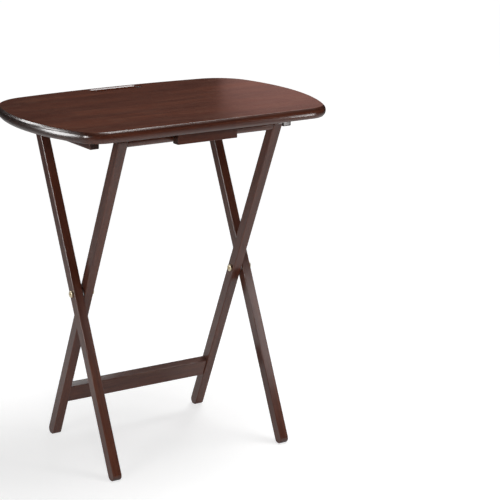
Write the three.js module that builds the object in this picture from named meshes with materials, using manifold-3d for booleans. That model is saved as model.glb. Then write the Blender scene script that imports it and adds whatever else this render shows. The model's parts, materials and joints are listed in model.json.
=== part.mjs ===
// Folding tray table: an oval-cornered wooden top on two crossed leg frames that fold like scissors.
// Units are millimetres, +Z is up, X runs along the long side of the top, and +Y points to the side
// with the hand slot. The origin is on the floor, under the middle of the top.
import * as THREE from "three";
import { mergeVertices } from "three/addons/utils/BufferGeometryUtils.js";
import Module from "manifold-3d";

const wasm = await Module();
wasm.setup();

// ---------------------------------------------------------------- driving dimensions
const HEIGHT = 655; // floor to the top's upper face
const GAP = 0.3; // clearance kept between pieces that touch

const TOP_LENGTH = 580;
const TOP_DEPTH = 390;
const TOP_THICKNESS = 20;
const TOP_EDGE_BULGE = 5; // how far the edge stands out beyond the upper and lower faces
const NEAR_EDGE_BOW = 2.5; // rise of the near long edge over the half length
const FAR_EDGE_BOW = 24; // the same for the far long edge, beside the slot
const END_BOW = 50; // rise of each end over the half depth
const NEAR_CORNER_RADIUS = 50;
const FAR_CORNER_RADIUS = 88;

const SLOT_LENGTH = 110;
const SLOT_WIDTH = 24;
const SLOT_FROM_FAR_EDGE = 23.5; // far edge to the slot's centre line
const SLOT_CHAMFER_WIDTH = 3.4;
const SLOT_CHAMFER_DEPTH = 2.4;

const LEG_WIDTH = 20; // across the leg, in the plane of the cross
const LEG_THICKNESS = 18; // along X
const LEG_SOFTENING = 1.2; // chamfer of the long edges
const LEAN = THREE.MathUtils.degToRad(24); // each frame's lean from upright when open
const CROSS_HEIGHT = 318.6; // height of the centre pivots
const CROSS_Y = -4; // the cross stands a little to the near side of the top's middle
const OUTER_LEG_X = 182; // centre planes of the legs
const INNER_LEG_X = 161;
const FOOT_FLAT_DROP = 0.5; // how much of the round foot is cut off flat

const TOP_PIVOT_DROP = 13; // underside of the top to the top pivots' axis
const TOP_REST_GAP = 0.6; // between the underside and the rounded tops of the inner legs
const RAIL_DIAMETER = 19;
const RAIL_BELOW_END = 2.3; // rail axis below the centre of the leg's rounded end
const TENON_DIAMETER = 12;
const TENON_LENGTH = 12;

const STRETCHER_CENTRE_HEIGHT = 93;
const STRETCHER_WIDTH = 37; // along the leg
const STRETCHER_THICKNESS = 16;
const DOWEL_DIAMETER = 8;
const DOWEL_LENGTH = 30;
const DOWEL_IN_LEG = 12;
const DOWEL_SPREAD = 18; // between the two dowels of one end

const BATTEN_WIDTH = 18;
const BATTEN_HEIGHT = 24.5;
const BATTEN_NEAR_Y = -119;
const BATTEN_FAR_Y = 151;

const CATCH_LENGTH = 124;
const CATCH_HEIGHT = 23;
const CATCH_DEPTH = 17.2; // at its lower face
const CATCH_CLEARANCE = 0.9; // between the rail and the cove of the block
const COVE_TURN = THREE.MathUtils.degToRad(40); // how far the cove follows the rail upwards

const BOLT_HEAD_DIAMETER = 13;
const BOLT_HEAD_HEIGHT = 3.6;
const LOW_HEAD_HEIGHT = 2.2; // inner heads of the top pivots, which the inner legs pass when they close
const SHANK_SHORTFALL = 9; // a shank ends this much short of the opposite head
const SLEEVE_FLOOR = 8; // solid stretch of a sleeve nut under its head
const HEAD_RIM_CHAMFER = 0.3;
const SHANK_END_CHAMFER = 0.4;
const BOLT_DIAMETER = 6;
const SLEEVE_DIAMETER = 8;
const SLEEVE_BORE = 6.8;
const SOCKET_ACROSS_FLATS = 4;
const SOCKET_DEPTH = 1.8;
const PIVOT_BORE = SLEEVE_DIAMETER + 2 * GAP;
const WASHER_DIAMETER = 17;
const BATTEN_WASHER_THICKNESS = 1;

const SCREW_DIAMETER = 4;
const SCREW_HEAD_DIAMETER = 8;
const SCREW_BITE = 12; // depth of the screw in the top
const SCREW_RECESS = 2; // head below the face of the wood
const SCREW_RIM = 0.4; // straight rim of the head before its cone
const SCREW_POINT = 3;
const SCREW_SLOT_LENGTH = 4.4; // the two crossed slots in the head
const SCREW_SLOT_WIDTH = 0.9;
const SCREW_SLOT_DEPTH = 1.2;
const BATTEN_SCREW_Y = [-95, -5, 85];
const CATCH_SCREW_X = 40;

const PAST = 1; // how far a hole's cutter runs on past the face it opens

// ---------------------------------------------------------------- fineness of round shapes
const TOP_EDGE_LAYERS = 8;
const OUTLINE_STEPS = { near: 4, nearCorner: 9, end: 9, farCorner: 8, far: 6 };
const SLOT_END_STEPS = 10;
const COVE_STEPS = 8;
const LEG_END_STEPS = 14;
const FOOT_STEPS = 6;
const ROD_SIDES = 20;
const RAIL_SIDES = 32;
const DOWEL_SIDES = 16;
const HEAD_SIDES = 18;
const SCREW_SIDES = 12;
const SCREW_HEAD_HOLE_SIDES = 16;

// ---------------------------------------------------------------- derived places
const UNDERSIDE = HEIGHT - TOP_THICKNESS;
const PIVOT_HEIGHT = UNDERSIDE - TOP_PIVOT_DROP;
const OUTER_REACH = (PIVOT_HEIGHT - CROSS_HEIGHT) / Math.cos(LEAN);
const LEG_END_RADIUS = LEG_WIDTH / 2;
const INNER_REACH = (UNDERSIDE - TOP_REST_GAP - LEG_END_RADIUS - CROSS_HEIGHT) / Math.cos(LEAN);
const FOOT_REACH = (CROSS_HEIGHT - LEG_END_RADIUS + FOOT_FLAT_DROP) / Math.cos(LEAN);
const RAIL_REACH = INNER_REACH - RAIL_BELOW_END;
const STRETCHER_REACH = (CROSS_HEIGHT - STRETCHER_CENTRE_HEIGHT) / Math.cos(LEAN);
const PIVOT_Y = CROSS_Y + OUTER_REACH * Math.sin(LEAN);
const RAIL_Y = CROSS_Y - RAIL_REACH * Math.sin(LEAN);
const RAIL_HEIGHT = CROSS_HEIGHT + RAIL_REACH * Math.cos(LEAN);
const OUTER_FACE = OUTER_LEG_X + LEG_THICKNESS / 2;
const INNER_FACE = INNER_LEG_X - LEG_THICKNESS / 2;
const BATTEN_INNER_FACE = OUTER_FACE + BATTEN_WASHER_THICKNESS + 2 * GAP;
const BATTEN_X = BATTEN_INNER_FACE + BATTEN_WIDTH / 2;
const SLOT_Y = TOP_DEPTH / 2 - SLOT_FROM_FAR_EDGE;

// ---------------------------------------------------------------- materials
const finish = (name, color, roughness, metalness) =>
  new THREE.MeshStandardMaterial({ name, color, roughness, metalness });
const topWood = finish("top_walnut", 0x4a2519, 0.34, 0);
const legWood = finish("leg_walnut", 0x4d2c22, 0.4, 0);
const dowelWood = finish("dowel_beech", 0xb58c5e, 0.7, 0);
const brass = finish("brass", 0xb9a06a, 0.3, 1);
const steel = finish("steel", 0x8f9194, 0.4, 1);

// ---------------------------------------------------------------- solid tools
function toSolid(geometry) {
  const bare = geometry.index ? geometry.toNonIndexed() : geometry.clone();
  bare.deleteAttribute("normal");
  bare.deleteAttribute("uv");
  const merged = mergeVertices(bare, 1e-4);
  return new wasm.Manifold(
    new wasm.Mesh({
      numProp: 3,
      vertProperties: merged.attributes.position.array,
      triVerts: new Uint32Array(merged.index.array),
    }),
  );
}

function toGeometry(solid) {
  const mesh = solid.getMesh();
  const geometry = new THREE.BufferGeometry();
  geometry.setAttribute("position", new THREE.BufferAttribute(mesh.vertProperties, 3));
  geometry.setIndex(new THREE.BufferAttribute(mesh.triVerts, 1));
  const faceted = geometry.toNonIndexed();
  faceted.computeVertexNormals();
  return faceted;
}

// The geometry less every cutter.
function cut(geometry, cutters) {
  let solid = toSolid(geometry);
  for (const cutter of cutters) {
    solid = solid.subtract(toSolid(cutter));
  }
  return toGeometry(solid);
}

// The geometry joined with one more that overlaps it.
function join(geometry, other) {
  return toGeometry(toSolid(geometry).add(toSolid(other)));
}

// A closed body through level rings of equal point count, each { points, z } with points going
// counter-clockwise round a convex outline.
function stackRings(rings) {
  const count = rings[0].points.length;
  const positions = [];
  const corner = (ring, i) => [ring.points[i % count].x, ring.points[i % count].y, ring.z];
  const triangle = (a, b, c) => positions.push(...a, ...b, ...c);
  rings.slice(1).forEach((upper, k) => {
    const lower = rings[k];
    for (let i = 0; i < count; i++) {
      triangle(corner(lower, i), corner(lower, i + 1), corner(upper, i + 1));
      triangle(corner(lower, i), corner(upper, i + 1), corner(upper, i));
    }
  });
  const bottom = rings[0];
  const top = rings[rings.length - 1];
  for (let i = 1; i < count - 1; i++) {
    triangle(corner(bottom, 0), corner(bottom, i + 1), corner(bottom, i));
    triangle(corner(top, 0), corner(top, i), corner(top, i + 1));
  }
  const geometry = new THREE.BufferGeometry();
  geometry.setAttribute("position", new THREE.Float32BufferAttribute(positions, 3));
  geometry.computeVertexNormals();
  return geometry;
}

// A bar with softened edges: a flat outline drawn in Y and Z, extruded along X about x = 0.
function barAlongX(outline, length, softening) {
  const geometry = new THREE.ExtrudeGeometry(new THREE.Shape(outline), {
    depth: length - 2 * softening,
    bevelEnabled: softening > 0,
    bevelThickness: softening,
    bevelSize: softening,
    bevelOffset: -softening,
    bevelSegments: 1,
  });
  geometry.translate(0, 0, softening - length / 2);
  return geometry.applyMatrix4(
    new THREE.Matrix4().makeBasis(
      new THREE.Vector3(0, 1, 0),
      new THREE.Vector3(0, 0, 1),
      new THREE.Vector3(1, 0, 0),
    ),
  );
}

function rectangle(width, height) {
  const w = width / 2;
  const h = height / 2;
  return [
    new THREE.Vector2(-w, -h),
    new THREE.Vector2(w, -h),
    new THREE.Vector2(w, h),
    new THREE.Vector2(-w, h),
  ];
}

// Points on an arc, both ends included.
function arcPoints(centreX, centreY, radius, from, to, steps) {
  return Array.from({ length: steps + 1 }, (_, i) => {
    const angle = from + ((to - from) * i) / steps;
    return new THREE.Vector2(centreX + radius * Math.cos(angle), centreY + radius * Math.sin(angle));
  });
}

// A round bar along X from x = from to x = to, at the given y and z.
function rodAlongX(diameter, from, to, y = 0, z = 0, sides = ROD_SIDES) {
  const geometry = new THREE.CylinderGeometry(diameter / 2, diameter / 2, to - from, sides);
  geometry.rotateZ(-Math.PI / 2);
  return geometry.translate((from + to) / 2, y, z);
}

// A round bar along Z.
function rodAlongZ(diameter, from, to, x = 0, y = 0, sides = SCREW_SIDES) {
  const geometry = new THREE.CylinderGeometry(diameter / 2, diameter / 2, to - from, sides);
  geometry.rotateX(Math.PI / 2);
  return geometry.translate(x, y, (from + to) / 2);
}

const mirrored = (geometry, side) => (side < 0 ? geometry.rotateZ(Math.PI) : geometry);
const sides = [
  { label: "left", sign: -1 },
  { label: "right", sign: 1 },
];

function piece(name, geometry, material, place = new THREE.Vector3()) {
  const mesh = new THREE.Mesh(geometry, material);
  mesh.name = name;
  mesh.position.copy(place);
  return mesh;
}

// ---------------------------------------------------------------- tray top
// The centre of an arc of the given radius that touches two arcs from inside, where they cross.
function roundingCentre(arcA, arcB, radius, towardsFar) {
  const span = new THREE.Vector2().subVectors(arcB.centre, arcA.centre);
  const distance = span.length();
  const reachA = arcA.radius - radius;
  const reachB = arcB.radius - radius;
  const along = (reachA ** 2 - reachB ** 2 + distance ** 2) / (2 * distance);
  const across = Math.sqrt(reachA ** 2 - along ** 2);
  const unit = span.clone().divideScalar(distance);
  const normal = new THREE.Vector2(-unit.y, unit.x);
  const options = [across, -across].map((offset) =>
    arcA.centre.clone().addScaledVector(unit, along).addScaledVector(normal, offset),
  );
  const outwards = (point) => point.x + (towardsFar ? point.y : -point.y);
  return outwards(options[0]) > outwards(options[1]) ? options[0] : options[1];
}

const angleOf = (point, centre) => Math.atan2(point.y - centre.y, point.x - centre.x);
const arcRadius = (half, rise) => (half ** 2 + rise ** 2) / (2 * rise);

// The top's outline, moved inwards by inset: two bowed long edges, two bowed ends, four round corners.
function topOutline(inset) {
  const halfLength = TOP_LENGTH / 2;
  const halfDepth = TOP_DEPTH / 2;
  const nearRadius = arcRadius(halfLength, NEAR_EDGE_BOW);
  const farRadius = arcRadius(halfLength, FAR_EDGE_BOW);
  const endRadius = arcRadius(halfDepth, END_BOW);
  const near = { radius: nearRadius, centre: new THREE.Vector2(0, nearRadius - halfDepth) };
  const far = { radius: farRadius, centre: new THREE.Vector2(0, halfDepth - farRadius) };
  const end = { radius: endRadius, centre: new THREE.Vector2(halfLength - endRadius, 0) };
  const nearCorner = roundingCentre(near, end, NEAR_CORNER_RADIUS, false);
  const farCorner = roundingCentre(far, end, FAR_CORNER_RADIUS, true);
  const arc = (centre, radius, from, to, steps) =>
    arcPoints(centre.x, centre.y, radius - inset, from, to, steps);
  const nearTurn = angleOf(nearCorner, near.centre);
  const endTurnNear = angleOf(nearCorner, end.centre);
  const endTurnFar = angleOf(farCorner, end.centre);
  const farTurn = angleOf(farCorner, far.centre);
  const right = [
    ...arc(near.centre, near.radius, -Math.PI / 2, nearTurn, OUTLINE_STEPS.near),
    ...arc(nearCorner, NEAR_CORNER_RADIUS, nearTurn, endTurnNear, OUTLINE_STEPS.nearCorner).slice(1),
    ...arc(end.centre, end.radius, endTurnNear, endTurnFar, OUTLINE_STEPS.end).slice(1),
    ...arc(farCorner, FAR_CORNER_RADIUS, endTurnFar, farTurn, OUTLINE_STEPS.farCorner).slice(1),
    ...arc(far.centre, far.radius, farTurn, Math.PI / 2, OUTLINE_STEPS.far).slice(1),
  ];
  const left = right.slice(1, -1).reverse().map((point) => new THREE.Vector2(-point.x, point.y));
  return [...right, ...left];
}

function slotOutline(growth) {
  const radius = SLOT_WIDTH / 2 + growth;
  const offset = (SLOT_LENGTH - SLOT_WIDTH) / 2;
  return [
    ...arcPoints(offset, SLOT_Y, radius, -Math.PI / 2, Math.PI / 2, SLOT_END_STEPS),
    ...arcPoints(-offset, SLOT_Y, radius, Math.PI / 2, (3 * Math.PI) / 2, SLOT_END_STEPS),
  ];
}

// The edge is half an ellipse, so its middle stands out beyond both faces.
function trayPanel() {
  const rings = Array.from({ length: TOP_EDGE_LAYERS + 1 }, (_, i) => {
    const turn = Math.PI * (i / TOP_EDGE_LAYERS - 0.5);
    return {
      points: topOutline(TOP_EDGE_BULGE * (1 - Math.cos(turn))),
      z: UNDERSIDE + (TOP_THICKNESS / 2) * (1 + Math.sin(turn)),
    };
  });
  const mouth = slotOutline(SLOT_CHAMFER_WIDTH * (1 + PAST / SLOT_CHAMFER_DEPTH));
  const wall = slotOutline(0);
  const slot = stackRings([
    { points: mouth, z: UNDERSIDE - PAST },
    { points: wall, z: UNDERSIDE + SLOT_CHAMFER_DEPTH },
    { points: wall, z: HEIGHT - SLOT_CHAMFER_DEPTH },
    { points: mouth, z: HEIGHT + PAST },
  ]);
  const pilotDiameter = SCREW_DIAMETER + 2 * GAP;
  const pilotTop = UNDERSIDE + SCREW_BITE + GAP;
  const pilots = screwPlaces().map(({ x, y }) =>
    rodAlongZ(pilotDiameter, UNDERSIDE - PAST, pilotTop, x, y),
  );
  return piece("tray_panel", cut(stackRings(rings), [slot, ...pilots]), topWood);
}

// ---------------------------------------------------------------- what is fixed under the top
function screwPlaces() {
  const inBattens = sides.flatMap(({ label, sign }) =>
    BATTEN_SCREW_Y.map((y, i) => ({
      name: `batten_screw_${label}_${["near", "middle", "far"][i]}`,
      x: sign * BATTEN_X,
      y,
      woodHeight: BATTEN_HEIGHT,
    })),
  );
  const inCatch = sides.map(({ label, sign }) => ({
    name: `catch_screw_${label}`,
    x: sign * CATCH_SCREW_X,
    y: CATCH_NEAR_Y + CATCH_DEPTH / 2,
    woodHeight: CATCH_HEIGHT,
  }));
  return [...inBattens, ...inCatch];
}

const screwHole = ({ x, y, woodHeight }) => {
  const lower = UNDERSIDE - woodHeight;
  const shank = rodAlongZ(SCREW_DIAMETER + 2 * GAP, lower - PAST, UNDERSIDE + PAST, x, y);
  const headTop = lower + SCREW_RECESS + (SCREW_HEAD_DIAMETER - SCREW_DIAMETER) / 2 + GAP;
  const headDiameter = SCREW_HEAD_DIAMETER + 2 * GAP;
  const head = rodAlongZ(headDiameter, lower - PAST, headTop, x, y, SCREW_HEAD_HOLE_SIDES);
  return [shank, head];
};

// A countersunk screw, head down, with a cross slot in the head.
function screw({ name, x, y, woodHeight }) {
  const headRadius = SCREW_HEAD_DIAMETER / 2;
  const shankRadius = SCREW_DIAMETER / 2;
  const coneHeight = headRadius - shankRadius;
  const length = woodHeight - SCREW_RECESS + SCREW_BITE;
  const profile = [
    [0, 0],
    [headRadius, 0],
    [headRadius, SCREW_RIM],
    [shankRadius, coneHeight],
    [shankRadius, length - SCREW_POINT],
    [0, length],
  ].map(([r, h]) => new THREE.Vector2(r, h));
  const body = new THREE.LatheGeometry(profile, SCREW_SIDES).rotateX(Math.PI / 2);
  const bars = [0, Math.PI / 2].map((turn) =>
    new THREE.BoxGeometry(SCREW_SLOT_LENGTH, SCREW_SLOT_WIDTH, 2 * SCREW_SLOT_DEPTH).rotateZ(turn),
  );
  const place = new THREE.Vector3(x, y, UNDERSIDE - woodHeight + SCREW_RECESS);
  return piece(name, cut(body, bars), steel, place);
}

function batten({ label, sign }) {
  const length = BATTEN_FAR_Y - BATTEN_NEAR_Y;
  const outline = rectangle(length, BATTEN_HEIGHT - GAP);
  const lower = UNDERSIDE - BATTEN_HEIGHT;
  const body = barAlongX(outline, BATTEN_WIDTH, LEG_SOFTENING).translate(
    sign * BATTEN_X,
    (BATTEN_FAR_Y + BATTEN_NEAR_Y) / 2,
    lower + (BATTEN_HEIGHT - GAP) / 2,
  );
  const holes = screwPlaces()
    .filter(({ name }) => name.startsWith(`batten_screw_${label}`))
    .flatMap(screwHole);
  const middle = sign * BATTEN_X;
  const reach = BATTEN_WIDTH / 2 + PAST;
  const pivot = rodAlongX(PIVOT_BORE, middle - reach, middle + reach, PIVOT_Y, PIVOT_HEIGHT);
  return piece(`batten_${label}`, cut(body, [...holes, pivot]), legWood);
}

// The block stops the rail from the near side, and its cove follows the rail's upper quarter.
const COVE_RADIUS = RAIL_DIAMETER / 2 + CATCH_CLEARANCE;
const CATCH_FAR_Y = RAIL_Y - COVE_RADIUS;
const CATCH_NEAR_Y = CATCH_FAR_Y - CATCH_DEPTH;

function catchBlock() {
  const lower = UNDERSIDE - CATCH_HEIGHT;
  const upper = UNDERSIDE - GAP;
  const cove = arcPoints(RAIL_Y, RAIL_HEIGHT, COVE_RADIUS, Math.PI, Math.PI - COVE_TURN, COVE_STEPS);
  const lip = cove[cove.length - 1];
  const outline = [
    new THREE.Vector2(CATCH_NEAR_Y, lower),
    new THREE.Vector2(CATCH_FAR_Y, lower),
    ...cove,
    new THREE.Vector2(lip.x, upper),
    new THREE.Vector2(CATCH_NEAR_Y, upper),
  ];
  const holes = screwPlaces()
    .filter(({ name }) => name.startsWith("catch_screw"))
    .flatMap(screwHole);
  return piece("catch_block", cut(barAlongX(outline, CATCH_LENGTH, 0), holes), legWood);
}

// ---------------------------------------------------------------- legs
// A leg's outline in its own frame, with the cross at the middle: a round end at the top, and a round
// foot with a narrow flat where it meets the floor. lean is +1 for a leg whose top is on the far side.
function legOutline(reach, lean) {
  const halfFlat = Math.acos((LEG_END_RADIUS - FOOT_FLAT_DROP) / LEG_END_RADIUS);
  const floorDirection = -Math.PI / 2 + lean * LEAN;
  return [
    ...arcPoints(0, -FOOT_REACH, LEG_END_RADIUS, -Math.PI, floorDirection - halfFlat, FOOT_STEPS),
    ...arcPoints(0, -FOOT_REACH, LEG_END_RADIUS, floorDirection + halfFlat, 0, FOOT_STEPS),
    ...arcPoints(0, reach, LEG_END_RADIUS, 0, Math.PI, LEG_END_STEPS),
  ];
}

function outerLeg({ label, sign }) {
  const bar = barAlongX(legOutline(OUTER_REACH, 1), LEG_THICKNESS, LEG_SOFTENING);
  const through = LEG_THICKNESS / 2 + PAST;
  const bores = [0, OUTER_REACH].map((z) => rodAlongX(PIVOT_BORE, -through, through, 0, z));
  const place = new THREE.Vector3(sign * OUTER_LEG_X, 0, 0);
  return piece(`outer_leg_${label}`, cut(bar, bores), legWood, place);
}

const dowelPlaces = [
  { level: "upper", z: -STRETCHER_REACH + DOWEL_SPREAD / 2 },
  { level: "lower", z: -STRETCHER_REACH - DOWEL_SPREAD / 2 },
];

function innerLeg({ label, sign }) {
  const bar = barAlongX(legOutline(INNER_REACH, -1), LEG_THICKNESS, LEG_SOFTENING);
  const half = LEG_THICKNESS / 2;
  const inner = (diameter, depth, z) => {
    const mouth = -sign * (half + PAST);
    const floor = sign * (depth + GAP - half);
    return rodAlongX(diameter + 2 * GAP, Math.min(mouth, floor), Math.max(mouth, floor), 0, z);
  };
  const bores = [
    rodAlongX(PIVOT_BORE, -half - PAST, half + PAST),
    inner(TENON_DIAMETER, TENON_LENGTH, RAIL_REACH),
    ...dowelPlaces.map(({ z }) => inner(DOWEL_DIAMETER, DOWEL_IN_LEG, z)),
  ];
  const place = new THREE.Vector3(sign * INNER_LEG_X, 0, 0);
  return piece(`inner_leg_${label}`, cut(bar, bores), legWood, place);
}

function topRail() {
  const shoulder = INNER_FACE - GAP;
  const tenonEnd = shoulder + TENON_LENGTH;
  const bar = rodAlongX(RAIL_DIAMETER, -shoulder, shoulder, 0, 0, RAIL_SIDES);
  const tenons = rodAlongX(TENON_DIAMETER, -tenonEnd, tenonEnd);
  return piece("top_rail", join(bar, tenons), legWood, new THREE.Vector3(0, 0, RAIL_REACH));
}

function bottomStretcher() {
  const length = 2 * (INNER_FACE - GAP);
  const outline = rectangle(STRETCHER_THICKNESS, STRETCHER_WIDTH);
  const bar = barAlongX(outline, length, LEG_SOFTENING).translate(0, 0, -STRETCHER_REACH);
  const depth = DOWEL_LENGTH - DOWEL_IN_LEG;
  const bores = sides.flatMap(({ sign }) =>
    dowelPlaces.map(({ z }) => {
      const floor = sign * (length / 2 - depth);
      const mouth = sign * (length / 2 + PAST);
      return rodAlongX(DOWEL_DIAMETER + 2 * GAP, Math.min(floor, mouth), Math.max(floor, mouth), 0, z);
    }),
  );
  return piece("bottom_stretcher", cut(bar, bores), legWood);
}

function stretcherDowels({ label, sign }) {
  return dowelPlaces.map(({ level, z }) => {
    const rod = rodAlongX(DOWEL_DIAMETER, -DOWEL_LENGTH / 2, DOWEL_LENGTH / 2, 0, 0, DOWEL_SIDES);
    const x = sign * (INNER_FACE + DOWEL_IN_LEG - DOWEL_LENGTH / 2);
    return piece(`stretcher_dowel_${label}_${level}`, rod, dowelWood, new THREE.Vector3(x, 0, z));
  });
}

// ---------------------------------------------------------------- pivots
// A domed head with a hex socket, on a shank that runs towards -X from x = 0.
function headedShank(shankDiameter, shankLength, headHeight) {
  const radius = BOLT_HEAD_DIAMETER / 2;
  const shank = shankDiameter / 2;
  const profile = [
    [0, -shankLength],
    [shank - SHANK_END_CHAMFER, -shankLength],
    [shank, SHANK_END_CHAMFER - shankLength],
    [shank, 0],
    [radius - HEAD_RIM_CHAMFER, 0],
    [radius, HEAD_RIM_CHAMFER],
    [radius, headHeight * 0.45],
    [radius * 0.86, headHeight * 0.82],
    [radius * 0.62, headHeight],
    [0, headHeight],
  ].map(([r, h]) => new THREE.Vector2(r, h));
  const body = new THREE.LatheGeometry(profile, HEAD_SIDES).rotateZ(-Math.PI / 2);
  const across = SOCKET_ACROSS_FLATS / Math.sqrt(3);
  const socket = new THREE.CylinderGeometry(across, across, 2 * SOCKET_DEPTH, 6);
  socket.rotateZ(-Math.PI / 2).translate(headHeight, 0, 0);
  return cut(body, [socket]);
}

// A bolt from the outer side, screwed into a sleeve nut from the inner side, through everything between
// the two faces. Both lie along X on the pivot's axis.
function pivotPair({ label, sign }, name, innerFace, outerFace, nutHeadHeight, place) {
  const length = outerFace - innerFace + 2 * GAP - SHANK_SHORTFALL;
  const bolt = mirrored(headedShank(BOLT_DIAMETER, length, BOLT_HEAD_HEIGHT), sign);
  const bore = rodAlongX(SLEEVE_BORE, -length - PAST, -SLEEVE_FLOOR);
  const sleeve = mirrored(cut(headedShank(SLEEVE_DIAMETER, length, nutHeadHeight), [bore]), -sign);
  const boltPlace = place.clone().setX(sign * (outerFace + GAP));
  const nutPlace = place.clone().setX(sign * (innerFace - GAP));
  return [
    piece(`${name}_bolt_${label}`, bolt, brass, boltPlace),
    piece(`${name}_sleeve_nut_${label}`, sleeve, brass, nutPlace),
  ];
}

function washer(name, diameter, x, thickness, place) {
  const ring = cut(rodAlongX(diameter, -thickness / 2, thickness / 2), [
    rodAlongX(PIVOT_BORE, -thickness, thickness),
  ]);
  return piece(name, ring, steel, place.clone().setX(x));
}

// ---------------------------------------------------------------- assembly
const crossPlace = new THREE.Vector3(); // in the frames' own group, whose origin is the cross
const trayTop = new THREE.Group();
trayTop.add(trayPanel(), ...sides.map(batten), catchBlock(), ...screwPlaces().map(screw));

const outerFrame = new THREE.Group();
outerFrame.add(...sides.map(outerLeg));
const centreWasher = OUTER_FACE - LEG_THICKNESS - (INNER_LEG_X + LEG_THICKNESS / 2) - 2 * GAP;
for (const side of sides) {
  outerFrame.add(...pivotPair(side, "centre", INNER_FACE, OUTER_FACE, BOLT_HEAD_HEIGHT, crossPlace));
  const x = side.sign * (INNER_LEG_X + LEG_THICKNESS / 2 + GAP + centreWasher / 2);
  outerFrame.add(washer(`centre_washer_${side.label}`, WASHER_DIAMETER, x, centreWasher, crossPlace));
}
outerFrame.rotation.x = -LEAN;

const innerFrame = new THREE.Group();
innerFrame.add(...sides.map(innerLeg), topRail(), bottomStretcher(), ...sides.flatMap(stretcherDowels));
innerFrame.rotation.x = LEAN;

const cross = new THREE.Group();
cross.position.set(0, CROSS_Y, CROSS_HEIGHT);
cross.add(outerFrame, innerFrame);

const topPins = new THREE.Group();
const pinPlace = new THREE.Vector3(0, PIVOT_Y, PIVOT_HEIGHT);
for (const side of sides) {
  const legInnerFace = OUTER_LEG_X - LEG_THICKNESS / 2;
  const battenOuterFace = BATTEN_INNER_FACE + BATTEN_WIDTH;
  topPins.add(...pivotPair(side, "top", legInnerFace, battenOuterFace, LOW_HEAD_HEIGHT, pinPlace));
  const x = side.sign * (OUTER_FACE + GAP + BATTEN_WASHER_THICKNESS / 2);
  topPins.add(washer(`top_washer_${side.label}`, WASHER_DIAMETER, x, BATTEN_WASHER_THICKNESS, pinPlace));
}

const table = new THREE.Group();
table.add(trayTop, cross, topPins);
export default table;
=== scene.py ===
"""Folding tray table: walnut-stained top on two crossed leg frames, brass pivots."""

import json
import math

import bmesh
import bpy
from mathutils import Matrix, Vector


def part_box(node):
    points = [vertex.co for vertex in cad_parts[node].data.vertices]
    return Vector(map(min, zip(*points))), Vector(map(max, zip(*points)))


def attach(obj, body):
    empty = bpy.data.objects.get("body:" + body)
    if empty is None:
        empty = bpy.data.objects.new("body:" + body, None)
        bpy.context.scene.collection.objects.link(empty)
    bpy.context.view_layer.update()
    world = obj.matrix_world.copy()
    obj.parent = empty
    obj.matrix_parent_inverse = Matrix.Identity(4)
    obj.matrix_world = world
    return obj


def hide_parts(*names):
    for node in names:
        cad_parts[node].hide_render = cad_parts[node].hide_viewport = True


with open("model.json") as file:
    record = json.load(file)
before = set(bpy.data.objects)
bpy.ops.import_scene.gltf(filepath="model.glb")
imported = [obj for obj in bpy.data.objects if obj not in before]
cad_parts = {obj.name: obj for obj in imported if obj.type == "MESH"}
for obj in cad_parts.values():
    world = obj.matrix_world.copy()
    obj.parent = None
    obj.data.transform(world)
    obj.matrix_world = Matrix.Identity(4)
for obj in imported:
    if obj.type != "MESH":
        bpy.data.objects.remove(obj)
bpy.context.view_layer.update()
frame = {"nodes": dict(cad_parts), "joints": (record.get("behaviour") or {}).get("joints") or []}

MM = 0.001
QUARTER_TURN = math.pi / 2
HALF_TURN = math.pi
FULL_TURN = 2 * math.pi
X_AXIS = Vector((1, 0, 0))
Y_AXIS = Vector((0, 1, 0))
Z_AXIS = Vector((0, 0, 1))

# ---------------------------------------------------------------- places taken from the frame
JOINT_PLACE = {joint["name"]: Vector(joint["pos_m"]) for joint in frame["joints"]}
CROSS = JOINT_PLACE["legs_fold"]
TOP_PIVOT = JOINT_PLACE["top_tilt"]
LEAN = math.atan2(TOP_PIVOT.y - CROSS.y, TOP_PIVOT.z - CROSS.z)
TOP_LOW, TOP_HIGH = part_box("tray_panel")
BATTEN_SCREWS = ("near", "middle", "far")
DOWEL_LEVELS = ("upper", "lower")
PIVOT_BODIES = {"centre": "outer_frame", "top": "top_pins"}  # the body that each pivot rides on

# ---------------------------------------------------------------- sizes
GAP = 0.3 * MM  # clearance between pieces that fit in each other
CUTTER_OVERRUN = 5 * MM  # how far a cutter stands out of the face it enters

TOP_EDGE_BULGE = 5 * MM
EDGE_POWER = 2.5  # 2 bows the edge evenly, more keeps its middle flatter
TOP_ARRIS = 0.9 * MM
ARRIS_REACH = 1.1 * TOP_ARRIS
ARRIS_KNEE_IN = 0.38 * TOP_ARRIS
ARRIS_KNEE_DOWN = 0.36 * TOP_ARRIS
NEAR_EDGE_BOW = 2.5 * MM
FAR_EDGE_BOW = 24 * MM
END_BOW = 50 * MM
NEAR_CORNER_RADIUS = 50 * MM
FAR_CORNER_RADIUS = 88 * MM

SLOT_LENGTH = 110 * MM
SLOT_WIDTH = 24 * MM
SLOT_FROM_FAR_EDGE = 23.5 * MM
SLOT_CHAMFER_WIDTH = 3.4 * MM
SLOT_CHAMFER_DEPTH = 2.4 * MM
SLOT_SOFTENING = 0.5 * MM
SLOT_KNEE_ALONG = 0.25 * SLOT_SOFTENING
SLOT_KNEE_OFF = 0.06 * SLOT_SOFTENING
SLOT_KNEE_ON_CHAMFER = 0.7 * SLOT_SOFTENING

LEG_WIDTH = 20 * MM
LEG_ROUNDING = 1.5 * MM
FOOT_FLAT_DROP = 0.5 * MM

STRETCHER_WIDTH = 37 * MM
STRETCHER_THICKNESS = 16 * MM
STRETCHER_ROUNDING = 1.4 * MM
DOWEL_HOLE = 8 * MM + 2 * GAP
DOWEL_HOLE_IN_LEG = 12 * MM + GAP
DOWEL_HOLE_IN_STRETCHER = 18.5 * MM

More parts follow.
